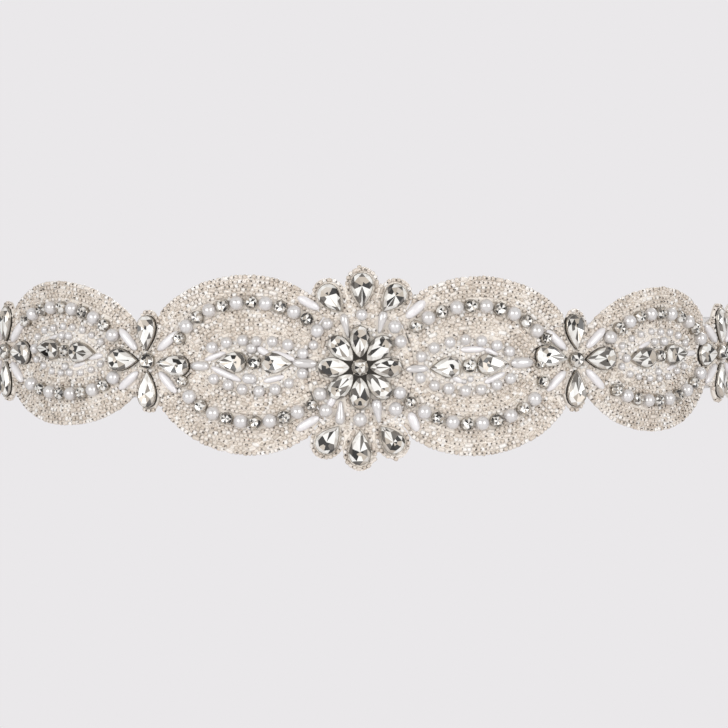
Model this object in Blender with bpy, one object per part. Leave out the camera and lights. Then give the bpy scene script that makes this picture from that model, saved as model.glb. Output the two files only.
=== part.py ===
# Bridal sash, closed round a waist: a beaded applique on a satin ribbon that laps at the back.
# Metres, +Z up. X runs to the right and the front faces -Y. The origin is the middle of the waist.
# Places on the sash are (s, z): s runs along the ribbon from the centre front, z is the height.

import math

import bmesh
import bpy
import numpy as np
from mathutils import Vector
from mathutils.geometry import delaunay_2d_cdt

# The waist, measured at the face that the beads are sewn to
WAIST_HALF_WIDTH = 0.140
WAIST_HALF_DEPTH = 0.103
SIDE_LIFT = 0.005  # the sash dips at the centre front and back, and rises over the hips

# Layers, as heights from that face, outwards
SEAM_GAP = 0.0003
RIBBON_THICK = 0.001
BACKING_DEPTH = 0.0007  # cloth behind the face
BEAD_LAYER = 0.0015  # small beads over the face, part of the same wall
RIBBON_OUTER = -BACKING_DEPTH - SEAM_GAP
RIBBON_INNER = RIBBON_OUTER - RIBBON_THICK
STONE_SEAT = BEAD_LAYER + SEAM_GAP

# Ribbon and its lapped closure at the centre back
RIBBON_WIDTH = 0.025
RIBBON_JOIN = 0.1470  # where the three lengths of ribbon meet, behind the outer flowers
RIBBON_STEP = 0.006
LAP_LENGTH = 0.034
LAP_RAMP = 0.016
LAP_CLEAR = 0.003

# Hook and bar between the two laps: a lip, the bar and the plate, each with a gap over it
HOOK_WIDTH = 0.010
HOOK_LENGTH = 0.009
HOOK_LIP = 0.004
BAR_WIDTH = 0.016
BAR_LENGTH = 0.003
METAL_THICK = 0.0008
LAP_RISE = RIBBON_THICK + 5 * SEAM_GAP + 3 * METAL_THICK

# Panels of the applique, from the centre front outwards on each side
FLOWERS = {  # the middle of each flower
    "inner_left": {"s": -0.0754, "z": 0.0006},
    "inner_right": {"s": 0.0769, "z": 0.0010},
    "outer_left": {"s": -0.1445, "z": 0.0008},
    "outer_right": {"s": 0.1500, "z": 0.0},
}
OVALS = {  # the middle of each oval and how far its outline reaches from there
    "large_left": {"s": -0.0380, "z": 0.0025, "up": 0.0288, "down": 0.0331, "front": 0.0330, "back": 0.0385},
    "large_right": {"s": 0.0402, "z": -0.0001, "up": 0.0309, "down": 0.0308, "front": 0.0360, "back": 0.0380},
    "small_left": {"s": -0.1140, "z": 0.0012, "up": 0.0257, "down": 0.0248, "front": 0.0385, "back": 0.0305},
    "small_right": {"s": 0.1130, "z": 0.0005, "up": 0.0243, "down": 0.0262, "front": 0.0350, "back": 0.0285},
    "end_left": {"s": -0.1705, "z": 0.0, "up": 0.0200, "down": 0.0200, "front": 0.0290, "back": 0.0290},
    "end_right": {"s": 0.1755, "z": 0.0, "up": 0.0200, "down": 0.0200, "front": 0.0290, "back": 0.0290},
}
CHAINS = {  # pearls and round stones by turns on two arcs, over and under the middle trio
    "large_left": {"s": -0.0374, "z": 0.0018, "half_width": 0.0280, "up": 0.0203, "down": 0.0211},
    "large_right": {"s": 0.0392, "z": -0.0002, "half_width": 0.0272, "up": 0.0211, "down": 0.0197},
    "small_left": {"s": -0.1118, "z": 0.0004, "half_width": 0.0260, "up": 0.0175, "down": 0.0130},
    "small_right": {"s": 0.1114, "z": -0.0006, "half_width": 0.0250, "up": 0.0164, "down": 0.0144},
    "end_left": {"s": -0.1745, "z": 0.0, "half_width": 0.0190, "up": 0.0118, "down": 0.0118},
    "end_right": {"s": 0.1795, "z": 0.0, "half_width": 0.0190, "up": 0.0118, "down": 0.0118},
}
CHAIN_BEADS = {  # how many on an arc, how far apart, and how far forward the two rows are moved
    "large_left": {"count": 11, "pitch": 0.0051, "forward_up": 0.0, "forward_down": 0.0014},
    "large_right": {"count": 11, "pitch": 0.0052, "forward_up": 0.0009, "forward_down": 0.0023},
    "small_left": {"count": 11, "pitch": 0.0050, "forward_up": 0.0, "forward_down": -0.0007},
    "small_right": {"count": 11, "pitch": 0.0049, "forward_up": -0.0016, "forward_down": -0.0005},
    "end_left": {"count": 7, "pitch": 0.0050, "forward_up": 0.0, "forward_down": 0.0},
    "end_right": {"count": 7, "pitch": 0.0050, "forward_up": 0.0, "forward_down": 0.0},
}
CHAIN_PEARL = {"large": 0.0024, "small": 0.0023, "end": 0.0021}
CHAIN_STONE = {"large": 0.0020, "small": 0.0019, "end": 0.0018}
INNER_PEARLS = {  # a ring of smaller pearls round the trio of a large oval
    "large_left": {"s": -0.0364, "z": 0.0024, "half_width": 0.0184, "up": 0.0066, "down": 0.0109},
    "large_right": {"s": 0.0370, "z": 0.0, "half_width": 0.0176, "up": 0.0090, "down": 0.0086},
}
INNER_BEADS = {
    "large_left": {"count": 7, "pitch": 0.0055, "forward_up": 0.0012, "forward_down": 0.0016},
    "large_right": {"count": 7, "pitch": 0.0056, "forward_up": 0.0005, "forward_down": 0.0006},
}
INNER_PEARL = 0.0019
TRIOS = {  # two pear stones, tips outwards, with a round one between them
    "large_left": {"s": -0.0365, "z": 0.0013, "length": 0.0108, "width": 0.0073, "round": 0.0024},
    "large_right": {"s": 0.0377, "z": 0.0002, "length": 0.0110, "width": 0.0073, "round": 0.0024},
    "small_left": {"s": -0.1106, "z": 0.0026, "length": 0.0114, "width": 0.0072, "round": 0.0021},
    "small_right": {"s": 0.1128, "z": 0.0007, "length": 0.0114, "width": 0.0072, "round": 0.0021},
    "end_left": {"s": -0.1745, "z": 0.0, "length": 0.0082, "width": 0.0056, "round": 0.0018},
    "end_right": {"s": 0.1795, "z": 0.0, "length": 0.0082, "width": 0.0056, "round": 0.0018},
}

# Flower of four pear stones, with four long beads between them
PETAL_LENGTH = 0.0126
PETAL_WIDTH = 0.0080
PETAL_TIP = 0.0036  # from the flower's centre
FLOWER_CENTRE = 0.0027
SPEAR_LENGTH = 0.0090
SPEAR_WIDTH = 0.0028
SPEAR_MIDDLE = 0.0105
SPEAR_ANGLE = 43  # degrees from the ribbon
FLOWER_OUTLINE = [  # ellipses that together make the panel under the flower
    {"half_width": 0.0062, "half_height": 0.0181},
    {"half_width": 0.0175, "half_height": 0.0085},
    {"half_width": 0.0158, "half_height": 0.0128},
]

# Medallion: a rosette of eight, with fans of three pear stones over and under it
ROSETTE_PETALS = 8
ROSETTE_LENGTH = 0.0110
ROSETTE_WIDTH = 0.0062
ROSETTE_TIP = 0.0034
ROSETTE_CENTRE = 0.0029
FANS = {  # where each fan's stones point to, and which way it opens
    "upper": {"s": 0.0007, "z": 0.0097, "opens": 1},
    "lower": {"s": 0.0, "z": -0.0107, "opens": -1},
}
FAN_STONES = [
    {"turn": -37, "tip": 0.0119, "length": 0.0111, "width": 0.0077},
    {"turn": 0, "tip": 0.0108, "length": 0.0122, "width": 0.0078},
    {"turn": 37, "tip": 0.0119, "length": 0.0111, "width": 0.0077},
]
LOBE_MARGIN = 0.0023
MEDALLION_BODY = {"half_width": 0.0182, "half_height": 0.0235}
MEDALLION_PEARLS = [  # one quarter, mirrored to the others
    {"s": 0.0138, "z": 0.0090, "radius": 0.0022},
    {"s": 0.0116, "z": 0.0143, "radius": 0.0023},
    {"s": 0.0064, "z": 0.0158, "radius": 0.0019},
]
MEDALLION_MIDDLE_PEARL = {"z": 0.0178, "radius": 0.0020}

# Profiles of stones and beads: rings as (share of the outline, height)
STONE_HEIGHT = 0.0024
STONE_RINGS = [(0.90, 0.0), (1.0, 0.45 * STONE_HEIGHT), (0.56, STONE_HEIGHT)]
TRIO_RINGS = [(0.94, 0.0012), (0.55, 0.0024)]
ROUND_RINGS = [(0.62, 0.0020)]
SPEAR_RINGS = [(0.75, 0.0010)]
SPEAR_TOP = 0.0013
PEARL_SHOULDER = 0.82  # of the radius, at the height of one radius
PEARL_TOP = 1.45  # in radii

# How finely things are drawn
PEARL_SIDES = 8
ROUND_SIDES = 6
PEAR_SIDES = 12
TRIO_SIDES = 10
LOBE_SIDES = 20
FLOWER_SIDES = 28
OUTLINE_SIDES = 44
CURVE_SAMPLES = 20001
ARC_SAMPLES = 2001
TANGENT_STEP = 0.001
GRID_STEP = 0.007  # inside a panel, so that its faces follow the waist
GRID_CLEAR = 0.0016
WELD = 1e-6

COLOURS = {  # colour, roughness, metallic
    "satin": ((0.86, 0.85, 0.85), 0.35, 0.0),
    "beadwork": ((0.74, 0.68, 0.62), 0.30, 0.1),
    "crystal": ((0.78, 0.76, 0.72), 0.08, 0.6),
    "nickel": ((0.60, 0.60, 0.60), 0.30, 1.0),
}


# The waist as a curve

REACH = 1.25 * math.pi  # past the centre back, for the laps
ANGLES = np.linspace(-REACH, REACH, CURVE_SAMPLES)
SPEED = np.hypot(WAIST_HALF_WIDTH * np.cos(ANGLES), WAIST_HALF_DEPTH * np.sin(ANGLES))
LENGTHS = np.concatenate([[0.0], np.cumsum((SPEED[1:] + SPEED[:-1]) / 2 * np.diff(ANGLES))])
LENGTHS -= LENGTHS[len(LENGTHS) // 2]
HALF_ROUND = float(np.interp(math.pi, ANGLES, LENGTHS))


def place(s, z, h):
    """The point at length s along the waist and height z, moved out by h."""
    angle = float(np.interp(s, LENGTHS, ANGLES))
    across, along = math.sin(angle), math.cos(angle)
    normal = Vector((across / WAIST_HALF_WIDTH, -along / WAIST_HALF_DEPTH, 0)).normalized()
    lift = SIDE_LIFT * (1 - math.cos(2 * angle)) / 2
    return Vector((WAIST_HALF_WIDTH * across, -WAIST_HALF_DEPTH * along, z + lift)) + normal * h


def flat_place(middle, offset, h):
    """A point of a rigid piece: offset in the plane that touches the waist at middle."""
    origin = place(middle[0], middle[1], 0)
    ahead, behind = (place(middle[0] + step, 0, 0) for step in (TANGENT_STEP, -TANGENT_STEP))
    tangent = (ahead - behind).normalized()
    upright = Vector((0, 0, 1))
    upright = (upright - tangent * upright.dot(tangent)).normalized()
    out = tangent.cross(upright)
    return origin + tangent * offset[0] + upright * offset[1] + out * h


# Outlines in the flat, as lists of (s, z), anticlockwise


def ellipse(s, z, half_width, half_height, sides):
    turns = [2 * math.pi * i / sides for i in range(sides)]
    return [(s + half_width * math.cos(t), z + half_height * math.sin(t)) for t in turns]


def turned(points, degrees, s=0.0, z=0.0):
    c, d = math.cos(math.radians(degrees)), math.sin(math.radians(degrees))
    return [(s + x * c - y * d, z + x * d + y * c) for x, y in points]


def pear(length, width, sides):
    """A drop with its tip at the origin and its round end at +length."""
    widest = 4 / (3 * math.sqrt(3))  # the greatest value of sin(t) sin(t / 2)
    points = []
    for i in range(sides):
        t = 2 * math.pi * i / sides
        x = length * (1 - math.cos(t)) / 2
        y = width / 2 * math.sin(t) * abs(math.sin(t / 2)) / widest
        points.append((x, -y))
    return points


def pear_at(s, z, degrees, start, length, width, sides=PEAR_SIDES):
    """A drop that points away from (s, z), with its tip start from it."""
    shape = [(x + start, y) for x, y in pear(length, width, sides)]
    return turned(shape, degrees, s, z)


def egg(size, sides):
    """An oval whose reach differs up and down, and to the front and the back."""
    outward = math.copysign(1, size["s"])
    points = []
    for i in range(sides):
        c, d = math.cos(2 * math.pi * i / sides), math.sin(2 * math.pi * i / sides)
        across = size["back"] if c * outward > 0 else size["front"]
        points.append((size["s"] + across * c, size["z"] + (size["up"] if d > 0 else size["down"]) * d))
    return points


def leaf(size, sides):
    """An oval with pointed ends, from two arcs."""
    radius = (size["back"] ** 2 + size["up"] ** 2) / (2 * size["up"])
    reach = math.asin(size["back"] / radius)
    half = sides // 2
    angles = [reach - 2 * reach * i / half for i in range(half)]
    upper = [(radius * math.sin(a), radius * math.cos(a) - radius + size["up"]) for a in angles]
    return [(size["s"] + x, size["z"] + z) for x, z in upper + [(-x, -z) for x, z in upper]]


def grown(points, margin):
    """A convex outline moved out by margin."""
    count = len(points)
    moved = []
    for i in range(count):
        before, here, after = (Vector(points[(i + k) % count]) for k in (-1, 0, 1))
        edge = (after - before).normalized()
        moved.append((here.x + edge.y * margin, here.y - edge.x * margin))
    return moved


def arc_places(arc, beads, side):
    """Places spaced evenly over the top (side 1) or bottom (side -1) of an arc, from its back end."""
    height = arc["up"] if side > 0 else arc["down"]
    angles = np.linspace(0, math.pi, ARC_SAMPLES)
    s, z = arc["half_width"] * np.cos(angles), height * np.sin(angles)
    run = np.concatenate([[0.0], np.cumsum(np.hypot(np.diff(s), np.diff(z)))])
    forward = beads["forward_up"] if side > 0 else beads["forward_down"]
    first = run[-1] / 2 - beads["pitch"] * (beads["count"] - 1) / 2 + forward
    at = np.interp([first + beads["pitch"] * i for i in range(beads["count"])], run, angles)
    outward = math.copysign(1, arc["s"])
    return [
        (arc["s"] + outward * arc["half_width"] * math.cos(a), arc["z"] + side * height * math.sin(a))
        for a in at
    ]


# Raised beads: an outline in the flat, its rings, and the height of its peak, or None for a flat top


def pearl_bead(s, z, radius):
    outline = ellipse(s, z, radius, radius, PEARL_SIDES)
    return {"outline": outline, "rings": [(PEARL_SHOULDER, radius)], "top": PEARL_TOP * radius}


def round_bead(s, z, radius):
    return {"outline": ellipse(s, z, radius, radius, ROUND_SIDES), "rings": ROUND_RINGS, "top": None}


def pear_bead(s, z, degrees, length, width):
    outline = pear_at(s, z, degrees, 0, length, width, TRIO_SIDES)
    return {"outline": outline, "rings": TRIO_RINGS, "top": None}


def spear_bead(s, z, degrees):
    outline = ellipse(0, 0, SPEAR_LENGTH / 2, SPEAR_WIDTH / 2, PEARL_SIDES)
    return {"outline": turned(outline, degrees, s, z), "rings": SPEAR_RINGS, "top": SPEAR_TOP}


def centre_of(points):
    return (sum(p[0] for p in points) / len(points), sum(p[1] for p in points) / len(points))


# Meshes


def finish_object(name, mesh_builder, kind):
    bmesh.ops.remove_doubles(mesh_builder, verts=mesh_builder.verts, dist=WELD)
    bmesh.ops.recalc_face_normals(mesh_builder, faces=mesh_builder.faces)
    mesh = bpy.data.meshes.new(name)
    mesh_builder.to_mesh(mesh)
    mesh_builder.free()
    mesh.materials.append(material(kind))
    node = bpy.data.objects.new(name, mesh)
    bpy.context.scene.collection.objects.link(node)
    return node


def material(kind):
    found = bpy.data.materials.get(kind)
    if found:
        return found
    colour, roughness, metallic = COLOURS[kind]
    made = bpy.data.materials.new(kind)
    made.use_nodes = True
    shader = made.node_tree.nodes["Principled BSDF"]
    shader.inputs["Base Color"].default_value = (*colour, 1)
    shader.inputs["Roughness"].default_value = roughness
    shader.inputs["Metallic"].default_value = metallic
    return made


def inside(point, outline):
    crossings = False
    for i, (x0, y0) in enumerate(outline):
        x1, y1 = outline[i - 1]
        if (y0 > point[1]) != (y1 > point[1]):
            if point[0] < (x1 - x0) * (point[1] - y0) / (y1 - y0) + x0:
                crossings = not crossings
    return crossings


def grid_points(shapes, holes, rim):
    """A sparse grid over shapes, clear of the holes and of the rim's points."""
    every = [p for shape in shapes for p in shape]
    low_s, high_s = min(p[0] for p in every), max(p[0] for p in every)
    low_z, high_z = min(p[1] for p in every), max(p[1] for p in every)
    found = []
    for i in range(1, int((high_s - low_s) / GRID_STEP) + 1):
        for j in range(1, int((high_z - low_z) / GRID_STEP) + 1):
            point = (low_s + i * GRID_STEP, low_z + j * GRID_STEP)
            if not any(inside(point, shape) for shape in shapes):
                continue
            if any(inside(point, hole) for hole in holes):
                continue
            if min(math.dist(point, p) for p in rim) > GRID_CLEAR:
                found.append(point)
    return found


def triangulate(points, edges, faces):
    result = delaunay_2d_cdt([Vector(p) for p in points], edges, faces, 1, WELD)
    return result[0], result[2], result[5]


def panel(name, shapes, cuts, beads):
    """A wall cut to the union of shapes, less the cuts, its outer points raised at the beads."""
    outlines = shapes + cuts + [bead["outline"] for bead in beads]
    points, faces = [], []
    for outline in outlines:
        faces.append(list(range(len(points), len(points) + len(outline))))
        points += outline
    holes = cuts + [bead["outline"] for bead in beads]
    loose = grid_points(shapes, holes, points)
    spots, triangles, sources = triangulate(points + loose, [], faces)

    first_cut, first_bead = len(shapes), len(shapes) + len(cuts)
    cloth, over_beads = [], {}
    for triangle, source in zip(triangles, sources, strict=True):
        under = set(source)
        if not under & set(range(first_cut)) or under & set(range(first_cut, first_bead)):
            continue
        bead = [i - first_bead for i in under if i >= first_bead]
        if bead:
            over_beads.setdefault(bead[0], []).append(triangle)
        else:
            cloth.append(triangle)

    builder = bmesh.new()
    outer = {}

    def outer_vert(i):
        if i not in outer:
            outer[i] = builder.verts.new(place(spots[i].x, spots[i].y, BEAD_LAYER))
        return outer[i]

    for triangle in cloth:
        builder.faces.new([outer_vert(i) for i in triangle])
    for index, bead in enumerate(beads):
        raise_bead(builder, bead, over_beads.get(index, []), spots, outer_vert)
    whole = cloth + [t for group in over_beads.values() for t in group]
    close_wall(builder, whole, spots, outer_vert, shapes, cuts)
    return finish_object(name, builder, "beadwork")


def border_loops(triangles):
    """The border edges of a set of triangles, each in the direction of its triangle."""
    directed = {(t[i], t[(i + 1) % 3]) for t in triangles for i in range(3)}
    return [(a, b) for a, b in directed if (b, a) not in directed]


def raise_bead(builder, bead, triangles, spots, outer_vert):
    """Rings of points over one bead, from its outline up to its top."""
    edges = border_loops(triangles)
    centre = centre_of(bead["outline"])
    order = [edges[0][0]]
    following = dict(edges)
    while following[order[-1]] != order[0]:
        order.append(following[order[-1]])
    below = [outer_vert(i) for i in order]
    for scale, height in bead["rings"]:
        ring = []
        for i in order:
            s = centre[0] + (spots[i].x - centre[0]) * scale
            z = centre[1] + (spots[i].y - centre[1]) * scale
            ring.append(builder.verts.new(place(s, z, BEAD_LAYER + height)))
        bridge(builder, below, ring)
        below = ring
    if bead["top"] is None:
        builder.faces.new(below)
        return
    peak = builder.verts.new(place(centre[0], centre[1], BEAD_LAYER + bead["top"]))
    for i in range(len(below)):
        builder.faces.new((below[i], below[(i + 1) % len(below)], peak))


def bridge(builder, lower, upper):
    for i in range(len(lower)):
        j = (i + 1) % len(lower)
        builder.faces.new((lower[i], lower[j], upper[j], upper[i]))


def close_wall(builder, triangles, spots, outer_vert, shapes, cuts):
    """The plain inside of the wall, and the strip that joins it to the outside."""
    border = border_loops(triangles)
    used = sorted({i for edge in border for i in edge})
    number = {i: n for n, i in enumerate(used)}
    rim = [(spots[i].x, spots[i].y) for i in used]
    edges = [(number[a], number[b]) for a, b in border]
    flat, plain, _ = triangulate(rim + grid_points(shapes, cuts, rim), edges, [])
    inner = {}

    def inner_vert(point):
        key = (round(point[0], 7), round(point[1], 7))
        if key not in inner:
            inner[key] = builder.verts.new(place(point[0], point[1], -BACKING_DEPTH))
        return inner[key]

    for triangle in plain:
        builder.faces.new([inner_vert(flat[i]) for i in reversed(triangle)])
    for a, b in border:
        low = [inner_vert((spots[i].x, spots[i].y)) for i in (b, a)]
        builder.faces.new((outer_vert(b), outer_vert(a), low[1], low[0]))


def stone(name, outline):
    """A cut stone in its setting: a base, a girdle and a flat table, on a flat seat."""
    middle = centre_of(outline)
    builder = bmesh.new()
    loops = []
    for scale, rise in STONE_RINGS:
        ring = [((x - middle[0]) * scale, (y - middle[1]) * scale) for x, y in outline]
        loops.append([builder.verts.new(flat_place(middle, p, STONE_SEAT + rise)) for p in ring])
    builder.faces.new(list(reversed(loops[0])))
    for lower, upper in zip(loops, loops[1:]):
        bridge(builder, lower, upper)
    builder.faces.new(loops[-1])
    return finish_object(name, builder, "crystal")


def strip(name, sections, kind):
    """A bar from matching four-cornered sections, closed at both ends."""
    builder = bmesh.new()
    loops = [[builder.verts.new(p) for p in section] for section in sections]
    for lower, upper in zip(loops, loops[1:]):
        bridge(builder, lower, upper)
    builder.faces.new(list(reversed(loops[0])))
    builder.faces.new(loops[-1])
    return finish_object(name, builder, kind)


# The applique


def flower_shapes(name):
    s, z = FLOWERS[name]["s"], FLOWERS[name]["z"]
    return [ellipse(s, z, row["half_width"], row["half_height"], FLOWER_SIDES) for row in FLOWER_OUTLINE]


def flower(name):
    """Four pear stones round a round one, on a panel with four long beads between them."""
    s, z = FLOWERS[name]["s"], FLOWERS[name]["z"]
    beads = []
    for quarter in (SPEAR_ANGLE, 180 - SPEAR_ANGLE, 180 + SPEAR_ANGLE, -SPEAR_ANGLE):
        spot = turned([(SPEAR_MIDDLE, 0)], quarter, s, z)[0]
        beads.append(spear_bead(spot[0], spot[1], quarter))
    panel(f"flower_{name}", flower_shapes(name), [], beads)
    for i in range(4):
        shape = pear_at(s, z, 90 * i, PETAL_TIP, PETAL_LENGTH, PETAL_WIDTH)
        stone(f"flower_{name}_petal_{i + 1}", shape)
    stone(f"flower_{name}_centre", ellipse(s, z, FLOWER_CENTRE, FLOWER_CENTRE, PEARL_SIDES))


def fan_lobe(fan, row):
    """The rounded edge of the panel round one stone of a fan."""
    middle = row["tip"] + row["length"] / 2
    half_length, half_width = row["length"] / 2 + LOBE_MARGIN, row["width"] / 2 + LOBE_MARGIN
    lobe = ellipse(middle, 0, half_length, half_width, LOBE_SIDES)
    return turned(lobe, fan["opens"] * 90 + row["turn"], fan["s"], fan["z"])


def medallion_shapes():
    body = ellipse(0, 0, MEDALLION_BODY["half_width"], MEDALLION_BODY["half_height"], OUTLINE_SIDES)
    return [body] + [fan_lobe(fan, row) for fan in FANS.values() for row in FAN_STONES]


def medallion():
    beads = []
    for row in MEDALLION_PEARLS:
        for across in (1, -1):
            for upward in (1, -1):
                beads.append(pearl_bead(across * row["s"], upward * row["z"], row["radius"]))
    for upward in (1, -1):
        beads.append(pearl_bead(0, upward * MEDALLION_MIDDLE_PEARL["z"], MEDALLION_MIDDLE_PEARL["radius"]))
    panel("medallion", medallion_shapes(), [], beads)
    for i in range(ROSETTE_PETALS):
        angle = 90 - 360 / ROSETTE_PETALS * i
        stone(f"rosette_petal_{i + 1}", pear_at(0, 0, angle, ROSETTE_TIP, ROSETTE_LENGTH, ROSETTE_WIDTH))
    stone("rosette_centre", ellipse(0, 0, ROSETTE_CENTRE, ROSETTE_CENTRE, PEARL_SIDES))
    for name, fan in FANS.items():
        for i, row in enumerate(FAN_STONES):
            angle = fan["opens"] * 90 + row["turn"]
            shape = pear_at(fan["s"], fan["z"], angle, row["tip"], row["length"], row["width"])
            stone(f"fan_{name}_{i + 1}", shape)


def oval_beads(name):
    """Chains of pearls and round stones, the inner pearls of a large oval, and the trio."""
    kind = name.split("_")[0]
    trio = TRIOS[name]
    beads = []
    for side in (1, -1):
        for i, (s, z) in enumerate(arc_places(CHAINS[name], CHAIN_BEADS[name], side)):
            if i % 2:
                beads.append(round_bead(s, z, CHAIN_STONE[kind]))
            else:
                beads.append(pearl_bead(s, z, CHAIN_PEARL[kind]))
        if name in INNER_PEARLS:
            places = arc_places(INNER_PEARLS[name], INNER_BEADS[name], side)
            beads += [pearl_bead(s, z, INNER_PEARL) for s, z in places]
    beads.append(round_bead(trio["s"], trio["z"], trio["round"]))
    reach = trio["round"] + SEAM_GAP + trio["length"]
    for angle, across in ((0, -1), (180, 1)):
        tip = trio["s"] + across * reach
        beads.append(pear_bead(tip, trio["z"], angle, trio["length"], trio["width"]))
    return beads


def overlaps(bead, cuts):
    """True if a bead of an oval runs under a neighbour that lies over the oval."""
    edge = grown(bead["outline"], SEAM_GAP)
    return any(inside(p, cut) for p in edge for cut in cuts)


def oval(name, neighbours):
    outline = leaf(OVALS[name], OUTLINE_SIDES) if name.startswith("end") else egg(OVALS[name], OUTLINE_SIDES)
    cuts = [grown(shape, SEAM_GAP) for shape in neighbours]
    beads = [bead for bead in oval_beads(name) if not overlaps(bead, cuts)]
    panel(f"{name}_oval", [outline], cuts, beads)


def applique():
    medallion()
    for name in FLOWERS:
        flower(name)
    for side in ("left", "right"):
        inner, outer = flower_shapes(f"inner_{side}"), flower_shapes(f"outer_{side}")
        oval(f"large_{side}", medallion_shapes() + inner)
        oval(f"small_{side}", inner + outer)
        oval(f"end_{side}", outer)


# The ribbon and its closure


def ribbon(name, start, end, rise=None):
    """A flat length of ribbon from start to end, with rise giving how far out it stands."""
    count = max(2, round(abs(end - start) / RIBBON_STEP))
    half = RIBBON_WIDTH / 2
    sections = []
    for i in range(count + 1):
        s = start + (end - start) * i / count
        out = rise(s) if rise else 0.0
        inner, outer = RIBBON_INNER + out, RIBBON_OUTER + out
        corners = ((-half, inner), (-half, outer), (half, outer), (half, inner))
        sections.append([place(s, z, h) for z, h in corners])
    strip(name, sections, "satin")


def lap_rise(s):
    """The left end climbs over the right one before the lap and stays over it."""
    top = HALF_ROUND - LAP_LENGTH / 2 - LAP_CLEAR
    share = min(1.0, max(0.0, (abs(s) - (top - LAP_RAMP)) / LAP_RAMP))
    return LAP_RISE * share * share * (3 - 2 * share)


def ribbons():
    half_join = SEAM_GAP / 2
    ribbon("ribbon_front", -RIBBON_JOIN + half_join, RIBBON_JOIN - half_join)
    ribbon("ribbon_left", -RIBBON_JOIN - half_join, -HALF_ROUND - LAP_LENGTH / 2, lap_rise)
    ribbon("ribbon_right", RIBBON_JOIN + half_join, HALF_ROUND + LAP_LENGTH / 2)


def hook_and_bar():
    """A flat hook on the outer end, its lip under a bar on the inner end."""
    floor = RIBBON_OUTER + SEAM_GAP
    lip_low = floor + SEAM_GAP
    bar_low = lip_low + METAL_THICK + SEAM_GAP
    bar_high = bar_low + METAL_THICK
    plate_low = bar_high + SEAM_GAP
    plate_high = plate_low + METAL_THICK
    middle = -HALF_ROUND

    # The bar stands on two feet, one above the other, and the lip passes between them
    foot = (BAR_WIDTH - HOOK_WIDTH) / 2 - 2 * SEAM_GAP
    half = BAR_WIDTH / 2
    profile = [
        (-half, floor), (-half + foot, floor), (-half + foot, bar_low),
        (half - foot, bar_low), (half - foot, floor), (half, floor), (half, bar_high), (-half, bar_high),
    ]
    ends = [middle - BAR_LENGTH / 2, middle + BAR_LENGTH / 2]
    strip("closure_bar", [[place(s, z, h) for z, h in profile] for s in ends], "nickel")

    # The hook is a plate that turns back under the bar
    turn = middle - BAR_LENGTH / 2 - SEAM_GAP
    profile = [
        (turn + HOOK_LENGTH, plate_low), (turn + HOOK_LENGTH, plate_high),
        (turn - METAL_THICK, plate_high), (turn - METAL_THICK, lip_low),
        (turn + HOOK_LIP, lip_low), (turn + HOOK_LIP, lip_low + METAL_THICK),
        (turn, lip_low + METAL_THICK), (turn, plate_low),
    ]
    edges = [-HOOK_WIDTH / 2, HOOK_WIDTH / 2]
    strip("closure_hook", [[place(s, z, h) for s, h in profile] for z in edges], "nickel")


def main():
    for old in list(bpy.data.objects):
        bpy.data.objects.remove(old)
    ribbons()
    hook_and_bar()
    applique()


main()
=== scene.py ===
import math

import bpy
import numpy as np
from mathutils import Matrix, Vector
from mathutils.geometry import delaunay_2d_cdt


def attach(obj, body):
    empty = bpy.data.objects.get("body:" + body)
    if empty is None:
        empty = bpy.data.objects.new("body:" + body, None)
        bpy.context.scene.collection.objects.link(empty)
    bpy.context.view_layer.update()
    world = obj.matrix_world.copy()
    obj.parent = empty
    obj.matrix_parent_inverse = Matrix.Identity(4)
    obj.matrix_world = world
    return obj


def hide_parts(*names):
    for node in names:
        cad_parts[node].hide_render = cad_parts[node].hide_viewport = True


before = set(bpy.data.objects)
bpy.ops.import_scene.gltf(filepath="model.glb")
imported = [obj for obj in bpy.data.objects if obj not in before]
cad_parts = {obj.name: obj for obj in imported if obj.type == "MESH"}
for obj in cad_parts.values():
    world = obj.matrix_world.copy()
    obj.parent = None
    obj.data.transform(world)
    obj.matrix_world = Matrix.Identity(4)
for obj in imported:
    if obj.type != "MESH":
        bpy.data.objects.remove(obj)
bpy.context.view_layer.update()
random = np.random.default_rng(7)
mm = 0.001

# The waist, as in the solids

waist = {"halfWidth": 0.140, "halfDepth": 0.103, "sideLift": 0.005}
reach = 1.25 * math.pi
angles = np.linspace(-reach, reach, 20001)
speed = np.hypot(waist["halfWidth"] * np.cos(angles), waist["halfDepth"] * np.sin(angles))
lengths = np.concatenate([[0.0], np.cumsum((speed[1:] + speed[:-1]) / 2 * np.diff(angles))])
lengths -= lengths[len(lengths) // 2]
halfRound = float(np.interp(math.pi, angles, lengths))


# Points at lengths s along the waist and heights z, moved out by h.
def place(s, z, h):
    a = np.interp(s, lengths, angles)
    nx, ny = np.sin(a) / waist["halfWidth"], -np.cos(a) / waist["halfDepth"]
    size = np.hypot(nx, ny)
    lift = waist["sideLift"] * (1 - np.cos(2 * a)) / 2
    x = waist["halfWidth"] * np.sin(a) + nx / size * h
    y = -waist["halfDepth"] * np.cos(a) + ny / size * h
    return np.stack([x, y, z + lift + 0 * x], -1)


# Directions along the ribbon, up and outwards at lengths s.
def axesAt(s):
    step = 0.001
    along = place(s + step, 0, 0) - place(s - step, 0, 0)
    along /= np.linalg.norm(along, axis=-1, keepdims=True)
    up = np.array([0, 0, 1.0]) - along * along[..., 2:3]
    up /= np.linalg.norm(up, axis=-1, keepdims=True)
    return along, up, np.cross(along, up)


# Outlines in the flat, anticlockwise


def ellipse(s, z, halfWidth, halfHeight, sides=96):
    t = np.linspace(0, 2 * math.pi, sides, endpoint=False)
    return np.stack([s + halfWidth * np.cos(t), z + halfHeight * np.sin(t)], -1)


def turned(points, degrees, s=0.0, z=0.0):
    c, d = math.cos(math.radians(degrees)), math.sin(math.radians(degrees))
    return np.stack([s + points[:, 0] * c - points[:, 1] * d, z + points[:, 0] * d + points[:, 1] * c], -1)


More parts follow.
